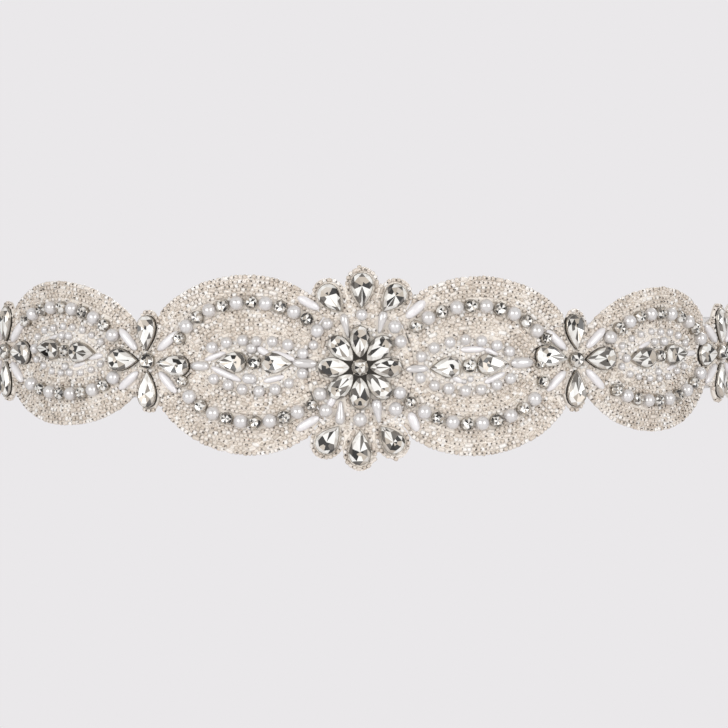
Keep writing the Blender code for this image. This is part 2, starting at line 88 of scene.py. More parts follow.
# A drop with its tip at the origin and its round end at +length.
def pear(length, width, sides, slim=1.0):
    t = np.linspace(0, 2 * math.pi, sides, endpoint=False)
    across = -np.sin(t) * np.abs(np.sin(t / 2)) ** slim
    return np.stack([length * (1 - np.cos(t)) / 2, width / 2 * across / across.max()], -1)


def pearAt(s, z, degrees, start, length, width, sides=48, slim=1.0):
    return turned(pear(length, width, sides, slim) + [start, 0], degrees, s, z)


def egg(size, sides=160):
    t = np.linspace(0, 2 * math.pi, sides, endpoint=False)
    outward = math.copysign(1, size["s"])
    across = np.where(np.cos(t) * outward > 0, size["back"], size["front"])
    tall = np.where(np.sin(t) > 0, size["up"], size["down"])
    return np.stack([size["s"] + across * np.cos(t), size["z"] + tall * np.sin(t)], -1)


def leaf(size, sides=120):
    radius = (size["back"] ** 2 + size["up"] ** 2) / (2 * size["up"])
    t = np.linspace(1, -1, sides // 2, endpoint=False) * math.asin(size["back"] / radius)
    upper = np.stack([radius * np.sin(t), radius * np.cos(t) - radius + size["up"]], -1)
    return np.concatenate([upper, -upper]) + [size["s"], size["z"]]


# Distance from each point to an outline, negative inside it.
def gapTo(points, outline):
    points = np.atleast_2d(points)
    ends = np.roll(outline, -1, 0)
    edge = ends - outline
    away = points[:, None] - outline[None]
    t = np.clip((away * edge).sum(-1) / np.maximum((edge**2).sum(-1), 1e-18), 0, 1)
    far = np.linalg.norm(away - edge * t[..., None], axis=-1).min(1)
    py, px = points[:, None, 1], points[:, None, 0]
    rise = np.where(edge[:, 1] == 0, 1e-15, edge[:, 1])
    over = (outline[:, 1] > py) != (ends[:, 1] > py)
    crosses = over & (px < edge[:, 0] * (py - outline[:, 1]) / rise + outline[:, 0])
    return np.where(crosses.sum(1) % 2 == 1, -far, far)


# Lines inside an outline (outside for a negative inset), broken where they would cross themselves
def insetLine(outline, inset, step=0.2 * mm):
    ends = np.roll(outline, -1, 0)
    run = np.concatenate([[0], np.cumsum(np.linalg.norm(ends - outline, axis=1))])
    count = int(run[-1] / step)
    at = np.linspace(0, run[-1], count, endpoint=False)
    looped = np.concatenate([outline, outline[:1]])
    dense = np.stack([np.interp(at, run, looped[:, 0]), np.interp(at, run, looped[:, 1])], -1)
    wide = max(1, round(0.6 * mm / step))
    along = np.roll(dense, -wide, 0) - np.roll(dense, wide, 0)
    along /= np.linalg.norm(along, axis=1, keepdims=True)
    line = dense + np.stack([-along[:, 1], along[:, 0]], -1) * inset
    good = np.abs(gapTo(line, outline)) > abs(inset) * 0.95
    if good.all():
        return [np.concatenate([line, line[:1]])]
    if not good.any():
        return []
    first = int(np.argmin(good))
    line, good = np.roll(line, -first, 0), np.roll(good, -first)
    breaks = np.flatnonzero(np.diff(good.astype(int))) + 1
    pieces = [p for p, g in zip(np.split(line, breaks), np.split(good, breaks)) if g[0] and len(p) > 8]
    joined = []
    for piece in pieces:
        if joined and np.linalg.norm(joined[-1][-1] - piece[0]) < 2.2 * mm:
            joined[-1] = np.concatenate([joined[-1], piece])
        else:
            joined.append(piece)
    if joined and np.linalg.norm(joined[-1][-1] - joined[0][0]) < 2.2 * mm:
        joined[-1] = np.concatenate([joined[-1], joined[0][:1] if len(joined) == 1 else joined.pop(0)])
    return joined


# Even spots along a line, as rows of (s, z, direction)
def spaced(line, pitch):
    steps = np.linalg.norm(np.diff(line, axis=0), axis=1)
    run = np.concatenate([[0], np.cumsum(steps)])
    closed = np.linalg.norm(line[0] - line[-1]) < 0.1 * mm
    count = max(1, int(run[-1] / pitch))
    start = random.uniform(0, 1) if closed else 0.5
    at = (np.arange(count) + start) * run[-1] / count
    spots = np.stack([np.interp(at, run, line[:, 0]), np.interp(at, run, line[:, 1])], -1)
    near = np.clip(np.stack([at - 0.5 * mm, at + 0.5 * mm]), 0, run[-1])
    ahead = [np.interp(near[1], run, line[:, k]) - np.interp(near[0], run, line[:, k]) for k in (0, 1)]
    return np.column_stack([spots, np.arctan2(ahead[1], ahead[0])])


seamGap = 0.0003  # between two panels
seed = {
    "radius": 0.00080, "pitch": 0.00160, "rim": 0.00030,  # rim is the least cloth outside a seed's middle
    "firstRow": 0.45, "rowPitch": 1.50,  # mm from the outline
    "room": 0.62 * mm, "apart": 1.25 * mm,  # from a seed's middle to larger beads, and to the next seed
    "fillRoom": 0.60 * mm, "fillApart": 1.34 * mm, "fillGrid": 0.5 * mm,
    "missing": 0.012, "doubles": 0.08,  # share left out, and share of double length
}

# Materials


def material(name, colour, roughness, metallic=0.0, **inputs):
    made = bpy.data.materials.new(name)
    made.use_nodes = True
    shader = made.node_tree.nodes["Principled BSDF"]
    shader.inputs["Base Color"].default_value = (*colour, 1)
    shader.inputs["Roughness"].default_value = roughness
    shader.inputs["Metallic"].default_value = metallic
    for key, value in inputs.items():
        shader.inputs[key.replace("_", " ")].default_value = value
    return made


def addNode(made, kind, **values):
    node = made.node_tree.nodes.new(kind)
    for key, value in values.items():
        setattr(node, key, value)
    return node


# Colours a material from (tint, colour) steps by each face's tint: a bead's own tone, and on a cut stone the
# facet's painted reflection.
def tinted(made, steps):
    links, shader = made.node_tree.links, made.node_tree.nodes["Principled BSDF"]
    tint = addNode(made, "ShaderNodeAttribute", attribute_name="tint")
    ramp = addNode(made, "ShaderNodeValToRGB")
    while len(ramp.color_ramp.elements) < len(steps):
        ramp.color_ramp.elements.new(0.5)
    for element, (at, colour) in zip(ramp.color_ramp.elements, steps):
        element.position = at
        element.color = (*colour, 1)
    links.new(tint.outputs["Fac"], ramp.inputs["Fac"])
    links.new(ramp.outputs["Color"], shader.inputs["Base Color"])


# Grain or weave as a fine bump in the object's own space.
def bumpy(made, scale, distance, pattern="ShaderNodeTexNoise", **values):
    links, shader = made.node_tree.links, made.node_tree.nodes["Principled BSDF"]
    space = addNode(made, "ShaderNodeTexCoord")
    grain = addNode(made, pattern, **values)
    grain.inputs["Scale"].default_value = scale
    bump = addNode(made, "ShaderNodeBump")
    bump.inputs["Distance"].default_value = distance
    bump.inputs["Strength"].default_value = 0.6
    links.new(space.outputs["Object"], grain.inputs["Vector"])
    links.new(grain.outputs["Fac"], bump.inputs["Height"])
    links.new(bump.outputs["Normal"], shader.inputs["Normal"])


seedGlass = material(
    "seedGlass", (0.80, 0.74, 0.68), 0.25, 0.0, Coat_Weight=0.7, Coat_Roughness=0.06, Subsurface_Weight=0.6,
    Subsurface_Radius=(1.0, 0.97, 0.93), Subsurface_Scale=0.0006)
tinted(seedGlass, [(0.0, (0.56, 0.49, 0.42)), (0.35, (0.68, 0.61, 0.54)), (0.7, (0.75, 0.69, 0.63)),
                   (1.0, (0.88, 0.85, 0.82))])
# Painted shade: the dark inside a bead's hole, on the flat ends of seeds and bugles and on a seed's shoulder
# spot.
seedHole = material("seedHole", (0.10, 0.08, 0.065), 0.4)
bumpy(seedHole, 3000, 0.00002)
pearlCoat = material(
    "pearlCoat", (0.58, 0.55, 0.54), 0.3, 0.0, Coat_Weight=1.0, Coat_Roughness=0.05, Coat_IOR=2.9)
tinted(pearlCoat, [(0.0, (0.555, 0.525, 0.51)), (0.5, (0.58, 0.555, 0.545)), (1.0, (0.61, 0.59, 0.59))])
satinBead = material(
    "satinBead", (0.80, 0.775, 0.785), 0.3, 0.0, Coat_Weight=1.0, Coat_Roughness=0.12, Coat_IOR=1.9)
bumpy(satinBead, 2500, 0.00004)
backing = material("backing", (0.87, 0.81, 0.74), 0.9)
bumpy(backing, 900, 0.0002)
# Painted reflections: the stones' colour comes from each facet's tint, from black through beige to white.
cutGlass = material("cutGlass", (0.8, 0.78, 0.75), 0.07, 0.2, Coat_Weight=1.0, Coat_Roughness=0.02)
tinted(cutGlass, [
    (0.0, (0.006, 0.005, 0.004)), (0.14, (0.020, 0.017, 0.015)), (0.35, (0.16, 0.145, 0.13)),
    (0.60, (0.50, 0.44, 0.37)), (0.80, (0.68, 0.65, 0.61)), (1.0, (0.93, 0.92, 0.89)),
])
setting = material("setting", (0.46, 0.43, 0.39), 0.22, 1.0)
bumpy(setting, 2500, 0.00003)
# Painted shade: a dark copy of the setting metal, put on the lower cup walls for the shadow in the gaps round
# the stones.
darkSetting = material("darkSetting", (0.035, 0.03, 0.025), 0.45, 0.5)
bumpy(darkSetting, 2500, 0.00004)
satin = material("satin", (0.80, 0.79, 0.795), 0.3, 0.0, Sheen_Weight=0.2, Sheen_Roughness=0.4)
bumpy(satin, 1400, 0.00005, "ShaderNodeTexWave", bands_direction="Z")
thread = material("thread", (0.82, 0.81, 0.80), 0.6)
bumpy(thread, 6000, 0.00003)
nickel = material("nickel", (0.60, 0.59, 0.58), 0.3, 1.0)
bumpy(nickel, 1800, 0.00003)

# Meshes


# One object from parts, each with its points, polygons, material, smoothness and tint.
def build(name, parts, materials):
    points, corners, starts, base, at = [], [], [], 0, 0
    for part in parts:
        points.append(part["points"])
        corners.append(part["corners"] + base)
        starts.append(at + np.concatenate([[0], np.cumsum(part["sizes"])[:-1]]))
        at += int(part["sizes"].sum())
        base += len(part["points"])
    points, corners, starts = np.concatenate(points), np.concatenate(corners), np.concatenate(starts)
    mesh = bpy.data.meshes.new(name)
    mesh.vertices.add(len(points))
    mesh.vertices.foreach_set("co", points.astype(np.float32).ravel())
    mesh.loops.add(len(corners))
    mesh.loops.foreach_set("vertex_index", corners.astype(np.int32))
    mesh.polygons.add(len(starts))
    mesh.polygons.foreach_set("loop_start", starts.astype(np.int32))
    mesh.update(calc_edges=True)
    mesh.polygons.foreach_set("material_index", np.concatenate([p["slots"] for p in parts]).astype(np.int32))
    mesh.polygons.foreach_set("use_smooth", np.concatenate([p["smooth"] for p in parts]).astype(bool))
    tint = mesh.attributes.new("tint", "FLOAT", "FACE")
    tint.data.foreach_set("value", np.concatenate([p["tints"] for p in parts]).astype(np.float32))
    for made in materials:
        mesh.materials.append(made)
    node = bpy.data.objects.new(name, mesh)
    bpy.context.scene.collection.objects.link(node)
    return node


# A form in its own axes: x along, y across, z outwards.
def form(points, polygons, slots=None, smooth=True, tints=None):
    sizes = np.array([len(p) for p in polygons])
    return {
        "points": np.array(points, float),
        "corners": np.concatenate([np.array(p) for p in polygons]),
        "sizes": sizes,
        "slots": np.zeros(len(sizes)) if slots is None else np.array(slots),
        "smooth": np.full(len(sizes), smooth) if isinstance(smooth, bool) else np.array(smooth),
        "tints": None if tints is None else np.array(tints, float),
    }


# A form turned about x from (along, radius) pairs. cap is the slot of its flat ends.
def revolved(profile, sides, cap=None):
    t = np.linspace(0, 2 * math.pi, sides, endpoint=False)
    points = [(x, r * math.cos(a), r * math.sin(a)) for x, r in profile for a in t]
    polygons = []
    for i in range(len(profile) - 1):
        for k in range(sides):
            m = (k + 1) % sides
            polygons.append([i * sides + m, (i + 1) * sides + m, (i + 1) * sides + k, i * sides + k])
    last = (len(profile) - 1) * sides
    slots = [0] * len(polygons) + [cap or 0] * 2
    smooth = [True] * len(polygons) + [cap is None] * 2
    polygons += [list(range(sides - 1, -1, -1)), list(range(last, last + sides))]
    return form(points, polygons, slots, smooth)


def upright(shape):  # the same form with its length along z
    return {**shape, "points": shape["points"][:, [1, 2, 0]]}


def ballProfile(rings):
    t = np.linspace(0, math.pi, rings + 1)
    t[0], t[-1] = 0.12, math.pi - 0.12
    return [(-math.cos(a), math.sin(a)) for a in t]


# Copies of a form. Each item has s, z, h, turn, tilt, scale (x, y, z) and tint.
def scattered(shape, items):
    s, z, h = (np.array([i[k] for i in items], float) for k in ("s", "z", "h"))
    turn, tilt = (np.array([i.get(k, 0.0) for i in items], float)[:, None] for k in ("turn", "tilt"))
    scale = np.array([np.broadcast_to(i.get("scale", 1.0), 3) for i in items], float)
    along, up, out = axesAt(s)
    x, y = along * np.cos(turn) + up * np.sin(turn), up * np.cos(turn) - along * np.sin(turn)
    x, w = x * np.cos(tilt) + out * np.sin(tilt), out * np.cos(tilt) - x * np.sin(tilt)
    local = shape["points"][None] * scale[:, None]
    moved = sum(local[..., k:k + 1] * axis[:, None] for k, axis in enumerate((x, y, w)))
    points = place(s, z, h)[:, None] + moved
    count, size = len(items), len(shape["points"])
    tints = shape["tints"]
    if tints is None:
        tints = np.repeat([i.get("tint", 0.5) for i in items], len(shape["sizes"]))
    else:
        tints = np.tile(tints, count)
    return {
        "points": points.reshape(-1, 3), "sizes": np.tile(shape["sizes"], count), "tints": tints,
        "corners": (shape["corners"][None] + np.arange(count)[:, None] * size).ravel(),
        "slots": np.tile(shape["slots"], count), "smooth": np.tile(shape["smooth"], count),
    }


# A seed bead, its flat ends painted dark as the shade in its hole, and when asked a painted dark spot at one
# shoulder for its shaded hole
def seedShape(eye):
    profile = [(-0.74, 0.45), (-0.92, 0.74), (-0.60, 1.0), (0.60, 1.0), (0.92, 0.74), (0.74, 0.45)]
    shape = revolved(profile, 8, cap=1)
    if not eye:
        return shape
    t = np.linspace(0, 2 * math.pi, 6, endpoint=False)
    size = 0.36
    spots = [(0.80 - 0.80 * size * math.cos(a), size * math.sin(a), 0.90 + 0.60 * size * math.cos(a))
             for a in t]
    first = len(shape["points"])
    return {
        **shape, "points": np.concatenate([shape["points"], spots]),
        "corners": np.concatenate([shape["corners"], np.arange(first + 5, first - 1, -1)]),
        "sizes": np.append(shape["sizes"], 6), "slots": np.append(shape["slots"], 1),
        "smooth": np.append(shape["smooth"], False),
    }


# The beads that are copied, each of radius 1
seedForm, shadeDotForm = seedShape(False), seedShape(True)
pearlForm = upright(revolved(ballProfile(12), 18))
prongForm = upright(revolved(ballProfile(4), 6))
tubeForm = revolved(
    [(x, max(0.12, 1 - abs(x) ** 3.2) ** 0.5) for x in np.sin(np.linspace(-1.5, 1.5, 11))], 12)
dropForm = revolved(
    [(-0.98, 0.20), (-0.8, 0.40), (-0.4, 0.60), (0.1, 0.86), (0.5, 1.0), (0.8, 0.82), (0.97, 0.35)], 14)
# A bugle's flat ends take slot 1, the painted shade of its hole.
bugleForm = revolved(
    [(-0.90, 0.55), (-1.0, 0.85), (-0.92, 1.0), (0.92, 1.0), (1.0, 0.85), (0.90, 0.55)], 10, cap=1)


# A cut stone: crown facets from the girdle to the table, and under the table the wedges that meet at
# the culet. Each facet's tint is a painted reflection, the light it throws back: 0 is black, 0.6 beige, 1
# white.
def cutStone(outline, culet, girdle, table, share, number, drop):
    pick = np.random.default_rng(number)
    sides, half = len(outline), len(outline) // 2
    middle = np.array(culet)
    odd = outline[1::2]
    points = [(*(middle + (p - middle) * 0.985), girdle) for p in outline]
    points += [(*(middle + (p - middle) * share), table) for p in odd]
    points += [(*(middle + (p - middle) * share * 0.45), table - 0.10 * mm) for p in odd]
    points.append((*middle, table - 0.2 * mm))
    top, inner, tip = sides, sides + half, sides + 2 * half
    polygons, tints = [], []
    toTip = outline[0] - middle
    toTip = toTip / max(np.linalg.norm(toTip), 1e-9)
    flip = int(pick.integers(2))
    for j in range(half):
        a, b, c, n = 2 * j, 2 * j + 1, (2 * j + 2) % sides, (j + 1) % half
        way = odd[j] + odd[n] - 2 * middle
        facing = float(way @ toTip) / max(np.linalg.norm(way), 1e-9)
        # painted reflections: the tints below stand for the light and dark each facet throws back
        if not drop:  # light and dark wedges by turns
            near = pick.choice([1.0, 0.8]) if (j + flip) % 2 else pick.choice([0.0, 0.0, 0.2, 0.5])
            far = near if pick.random() < 0.6 else pick.choice([0.5, 0.1, 0.9])
            edge = pick.choice([0.6, 0.4, 0.9, 0.1])
        elif facing < -0.35:  # the round end
            far = pick.choice([0.60, 0.62, 0.64, 0.58, 0.0, 0.95])
            near = pick.choice([0.60, 0.60, 0.0])
            edge = pick.choice([0.62, 0.9, 1.0, 0.2])
        elif facing < 0.30:  # the sides
            far = pick.choice([0.0, 0.0, 1.0, 0.3])
            near = pick.choice([0.0, 0.0, 1.0])
            edge = pick.choice([1.0, 0.7, 0.3, 0.0])
        else:  # towards the tip
            far = near = pick.choice([1.0, 0.97] if (j + flip) % 2 else [0.30, 0.10, 0.42, 0.62, 1.0])
            edge = pick.choice([1.0, 0.9, 0.35, 0.8])
        polygons += [[a, b, top + j], [b, c, top + j], [top + j, c, top + n]]
        tints += [edge, edge, pick.choice([edge, 0.8, 0.3, 1.0])]
        polygons += [[top + j, top + n, inner + n, inner + j], [inner + j, inner + n, tip]]
        tints += [far, near]
    tints = np.clip(np.array(tints) + pick.normal(0, 0.02, len(tints)), 0, 1)
    return form(points, polygons, None, False, tints)


# The metal round a stone: a wall, its lower bands painted dark as shade where asked, and a thin bright rim.
# Slot 0 is bright, 1 painted shade
def cupForm(outline, height, dark, spread):
    middle = outline.mean(0)
    away = outline - middle
    size = np.linalg.norm(away, axis=1, keepdims=True)
    unit = away / np.maximum(size, 1e-9)
    rounds = ((spread, 0.2 * mm), (spread, height * 0.45), (0.02 * mm, height * 0.60), (-0.04 * mm, height),
              (-0.14 * mm, height), (-0.26 * mm, height * 0.7))
    points, polygons, slots = [], [], []
    for grown, h in rounds:
        points += [(*(middle + away[k] + unit[k] * grown), h) for k in range(len(outline))]
    sides = len(outline)
    for i in range(len(rounds) - 1):
        for k in range(sides):
            m = (k + 1) % sides
            polygons.append([i * sides + k, i * sides + m, (i + 1) * sides + m, (i + 1) * sides + k])
            # the two lowest bands of the wall take the painted shade
            slots.append(1 if dark and i < 2 else 0)
    return form(points, polygons, slots, True, np.full(len(polygons), 0.5))


# Everything sewn on so far, so that nothing is sewn through anything else
taken = {"circles": [], "outlines": []}


def clashes(s, z, radius, slack=0.35 * mm):
    if any(math.hypot(s - a, z - b) < radius + r - slack for a, b, r in taken["circles"]):
        return True
    return any(gapTo([s, z], outline)[0] < radius - slack for outline in taken["outlines"])


# Where the claws stand round a round stone, as shares of its edge
fourClaws, evenClaws = (0.1, 0.35, 0.6, 0.85), (0.125, 0.375, 0.625, 0.875)


# What is sewn to one panel. shapes make its outline, cuts are where its neighbours lie over it.
class Panel:

    def __init__(self, name, shapes, cuts, nodes, stoneNodes=()):
        self.name, self.shapes, self.cuts = name, shapes, cuts
        self.nodes, self.stoneNodes = nodes, stoneNodes
        self.pearls, self.drops, self.tubes, self.satins, self.bugles = [], [], [], [], []
        self.seeds, self.eyes, self.crystals, self.cups, self.prongs, self.plates = [], [], [], [], [], []
        self.rows = []
        self.pale = None  # the outline inside which nearly all seeds are white

    def seedTint(self, s, z):
        if self.pale is not None and gapTo([s, z], self.pale)[0] < 0:
            return random.uniform(0.8, 1)
        return random.uniform(0, 1)

    # How far points lie inside the panel
    def depth(self, points):
        inside = np.max([-gapTo(points, shape) for shape in self.shapes], axis=0)
        for cut in self.cuts:
            inside = np.minimum(inside, gapTo(points, cut) - seamGap)
        return inside

    def pearl(self, s, z, radius):
        self.pearls.append({
            "s": s, "z": z, "h": radius * 1.02, "scale": radius * 1.04, "turn": random.uniform(0, 6),
            "tint": random.uniform(0, 1)})
        taken["circles"].append((s, z, radius * 0.93))

    # A drop, tube, satin bead or bugle lying in a direction, all in mm and degrees
    def long(self, kind, s, z, degrees, length, width, lift=0.0):
        getattr(self, kind).append({
            "s": s * mm, "z": z * mm, "h": (width * 0.52 + lift) * mm, "turn": math.radians(degrees),
            "scale": (length / 2 * mm, width / 2 * mm, width / 2 * mm), "tint": random.uniform(0.3, 1)})
        taken["outlines"].append(
            turned(ellipse(0, 0, length / 2 * mm, width * 0.46 * mm, 24), degrees, s * mm, z * mm))

    # A stone in its cup. lean is how far from its tip the culet lies. A dark cup has its lower walls painted
    # dark as the shade round the stone
    def stone(self, outline, girdle=2.9 * mm, table=4.1 * mm, claws=(), drop=True, dark=False):
        lean, share, spread, claw = (0.62, 0.74, 0.12, 0.40) if drop else (0.5, 0.66, 0.02, 0.46)
        middle = outline.mean(0)
        local = outline - middle
        gem = local - local / np.linalg.norm(local, axis=1, keepdims=True) * 0.12 * mm
        culet = local[0] * (1 - lean) + local[len(local) // 2] * lean
        at = {"s": middle[0], "z": middle[1], "h": 0.1 * mm}
        number = len(self.crystals) * 31 + int(abs(middle[0]) * 1e5) + int(abs(middle[1]) * 3e5)
        self.crystals.append((cutStone(gem, culet, girdle, table, share, number, drop), at))
        self.cups.append((cupForm(local, girdle + 0.08 * mm, dark, spread * mm), at))
        for part in claws:
            spot = middle + local[round(part * len(local)) % len(local)] * 0.98
            self.prongs.append({"s": spot[0], "z": spot[1], "h": girdle + 0.25 * mm, "scale": claw * mm})
        taken["outlines"].append(outline)

    def roundStone(self, s, z, radius, girdle=2.8 * mm, table=3.8 * mm):
        turn = random.uniform(0, 90)
        outline = turned(ellipse(0, 0, radius, radius, 16), turn, s, z)
        self.stone(outline, girdle, table, evenClaws, drop=False)

    # Which spots have room on the panel
    def free(self, spots, room, among):
        ok = self.depth(spots[:, :2]) > seed["rim"]
        for s, z, radius in taken["circles"]:
            ok &= np.hypot(spots[:, 0] - s, spots[:, 1] - z) > radius + room
        for outline in taken["outlines"]:
            middle = outline.mean(0)
            reach = np.hypot(*(outline - middle).T).max() + 1.5 * mm
            close = np.hypot(*(spots[:, :2] - middle).T) < reach
            if close.any():
                ok[close] &= gapTo(spots[close, :2], outline) > room
        sewn = self.seeds + self.eyes
        if sewn:
            places = np.array([(i["s"], i["z"]) for i in sewn])
            away = np.hypot(spots[:, 0:1] - places[:, 0], spots[:, 1:2] - places[:, 1])
            ok &= away.min(1) > among
        return ok

    def seedRow(self, line, room=seed["room"], keep=None, skip=seed["missing"], eyes=0.5):
        spots = spaced(line, seed["pitch"])
        ok = self.free(spots, room, seed["apart"])
        if keep is not None:
            ok &= keep(spots)
        k = -1
        while k + 1 < len(spots):
            k += 1
            if not ok[k] or random.uniform() < skip:
                continue
            s, z, turn = spots[k]
            size = seed["radius"] * random.uniform(0.94, 1.03)
            item = {
                "s": s + random.normal(0, 0.06 * mm), "z": z + random.normal(0, 0.08 * mm),
                "h": seed["radius"] * random.uniform(0.96, 1.14), "turn": turn + random.normal(0, 0.18),
                "tilt": random.normal(0, 0.15), "scale": size, "tint": self.seedTint(s, z)}
            if k + 1 < len(spots) and ok[k + 1] and random.uniform() < seed["doubles"]:
                s, z = (s + spots[k + 1][0]) / 2, (z + spots[k + 1][1]) / 2
                item.update(s=s, z=z, scale=(size * 1.95, size, size))
                self.seeds.append(item)
                k += 1
                continue
            if random.uniform() < 0.5:
                item["turn"] += math.pi
            (self.eyes if random.uniform() < eyes else self.seeds).append(item)

    # Seeds in every hole that the rows have left
    def fill(self):
        every = np.concatenate(self.shapes)
        across, down = (np.arange(every[:, k].min(), every[:, k].max(), seed["fillGrid"]) for k in (0, 1))
        grid = np.stack(np.meshgrid(across, down), -1).reshape(-1, 2)
        grid = grid[self.free(grid, seed["fillRoom"], seed["fillApart"])]
        kept = []
        for s, z in random.permutation(grid):
            if all(math.hypot(s - a, z - b) > seed["fillApart"] for a, b in kept):
                kept.append((s, z))
        for s, z in kept:
            size = seed["radius"] * random.uniform(0.92, 1.0)
            (self.eyes if random.uniform() < 0.4 else self.seeds).append({
                "s": s, "z": z, "h": seed["radius"] * random.uniform(0.96, 1.1),
                "turn": random.uniform(0, 6.3), "tilt": random.normal(0, 0.15), "scale": size,
                "tint": self.seedTint(s, z)})


# Cloth cut to the union of shapes less the cuts, as one closed sheet
cloth = {"outer": 0.95 * mm, "thick": 1.5 * mm, "inset": 0.25 * mm, "step": 0.0022, "edgeStep": 0.9 * mm}


def clothSheet(name, shapes, cuts):
    outer, thick, step = cloth["outer"], cloth["thick"], cloth["step"]
    outlines = [insetLine(shape, cloth["inset"], cloth["edgeStep"])[0] for shape in shapes]
    outlines += [insetLine(cut, -seamGap + 0.05 * mm, cloth["edgeStep"])[0] for cut in cuts]
    points, faces = [], []
    for outline in outlines:
        faces.append(list(range(len(points), len(points) + len(outline))))
        points += [tuple(p) for p in outline]
    every = np.concatenate(outlines[: len(shapes)])
    low, high = every.min(0), every.max(0)
    across, down = (np.arange(low[k] + step / 2, high[k], step) for k in (0, 1))
    grid = np.stack(np.meshgrid(across, down), -1).reshape(-1, 2)
    away = np.min([np.abs(gapTo(grid, outline)) for outline in outlines], axis=0)
    inside = np.min([gapTo(grid, shape) for shape in outlines[: len(shapes)]], axis=0) < 0
    for cut in outlines[len(shapes):]:
        inside &= gapTo(grid, cut) > 0
    points += [tuple(p) for p in grid[inside & (away > 0.4 * step)]]
    made = delaunay_2d_cdt([Vector(p) for p in points], [], faces, 1, 1e-6)
    spots = np.array([tuple(v) for v in made[0]])
    own = set(range(len(shapes)))
    triangles = np.array(
        [t for t, source in zip(made[2], made[5]) if set(source) & own and not set(source) - own])
    flat = spots[triangles]
    area = np.abs(np.cross(flat[:, 1] - flat[:, 0], flat[:, 2] - flat[:, 0])).sum() / 2
    directed = {(t[i], t[(i + 1) % 3]) for t in triangles.tolist() for i in range(3)}
    border = sorted((a, b) for a, b in directed if (b, a) not in directed)
    s, z = spots[:, 0], spots[:, 1]
    ease = 0.10 * mm * (np.sin(s * 410 + z * 160) + np.sin(z * 520 - s * 90))
    face, back = place(s, z, outer + ease), place(s, z, outer - thick + ease)
    total = len(spots)
    polygons = triangles.tolist() + (triangles[:, ::-1] + total).tolist()
    polygons += [[b, a, a + total, b + total] for a, b in border]
    part = form(np.concatenate([face, back]), polygons, tints=np.full(len(polygons), 0.5))
    sheet = build(name, [part], [backing])
    size = high - low
    return sheet, area, (float(size[1]), float(size[0]))


def finishPanel(panel):
    tag = panel.name
    sheet, area, flat = clothSheet(tag + "Backing", panel.shapes, panel.cuts)
    groups = {
        "Seeds": ([(seedForm, panel.seeds), (shadeDotForm, panel.eyes)], [seedGlass, seedHole]),
        "Bugles": ([(bugleForm, panel.bugles)], [seedGlass, seedHole]),
        "Pearls": (
            [(pearlForm, panel.pearls), (dropForm, panel.drops), (tubeForm, panel.tubes)], [pearlCoat]),
        "SatinBeads": ([(tubeForm, panel.satins)], [satinBead]),
    }
    beads = []
    for word, (kinds, materials) in groups.items():
        parts = [scattered(shape, items) for shape, items in kinds if items]
        if parts:
            beads.append(build(tag + word, parts, materials))
    stones = [build(tag + "Crystals", [scattered(f, [at]) for f, at in panel.crystals], [cutGlass])]
    metal = [scattered(f, [at]) for f, at in panel.cups + panel.plates]
    metal.append(scattered(prongForm, panel.prongs))
    stones.append(build(tag + "Settings", metal, [setting, darkSetting]))
    for piece in [sheet] + beads + stones:
        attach(piece, "root")
    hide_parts(panel.nodes)
    if panel.stoneNodes:
        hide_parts(*panel.stoneNodes)
    print("panel", tag, "seeds", len(panel.seeds) + len(panel.eyes), "area cm2", round(area * 1e4, 1))


# The medallion: eight pears round a round stone on a dark plate, and a fan of three above and below
medallionLayout = {
    "halfWidth": 0.0182, "halfHeight": 0.0235, "lobeMargin": 0.0023,
    "rosette": {"length": 0.0110, "width": 0.0069, "tip": 0.0034, "centre": 0.0029},
    "plate": {"radius": 9.3, "lobes": 1.1, "top": 1.9, "foot": 0.3},  # mm
    "fans": {
        "upper": {"s": 0.0007, "z": 0.0097, "opens": 1},
        "lower": {"s": 0.0, "z": -0.0107, "opens": -1},
    },
    "fanStones": [
        {"turn": -37, "tip": 0.0119, "length": 0.0111, "width": 0.0077},
        {"turn": 0, "tip": 0.0108, "length": 0.0122, "width": 0.0078},
        {"turn": 37, "tip": 0.0119, "length": 0.0111, "width": 0.0077},
    ],
    "pearls": [  # s, z and radius in mm
        (-14.6, 12.6, 2.3), (-11.2, 15.0, 2.0), (0.6, 18.1, 2.0), (11.9, 14.0, 2.3), (13.9, 8.9, 2.2),
        (-13.6, -9.2, 2.3), (-11.7, -14.9, 2.3), (0.0, -18.0, 2.4), (12.1, -14.4, 2.4), (13.6, -8.8, 2.2),
        (-15.9, 7.6, 1.7),
    ],
    "rounds": [(-16.7, -13.0, 2.0), (17.4, -12.1, 2.1)],
    "drops": [  # s, z, direction of the wide end, length and width
        (-4.9, 14.4, 103, 8.6, 3.1), (7.4, 15.6, 76, 8.2, 3.3),
        (-6.7, -15.6, 268, 8.4, 3.6), (6.0, -15.0, 98, 8.4, 3.8),
    ],
    "satins": [(-9.8, -11.9, 60, 4.6, 2.6)],
    "seedRounds": (10.5, 12.0, 13.4, 14.9, 16.4, 17.9, 19.4, 20.9, 22.4),  # mm from the middle
}


def medallionShapes():
    shapes = [ellipse(0, 0, medallionLayout["halfWidth"], medallionLayout["halfHeight"])]
    margin = medallionLayout["lobeMargin"]
    for fan in medallionLayout["fans"].values():
        for row in medallionLayout["fanStones"]:
            halfLength, halfWidth = row["length"] / 2, row["width"] / 2
            lobe = ellipse(row["tip"] + halfLength, 0, halfLength + margin, halfWidth + margin)
            shapes.append(turned(lobe, fan["opens"] * 90 + row["turn"], fan["s"], fan["z"]))
    return shapes


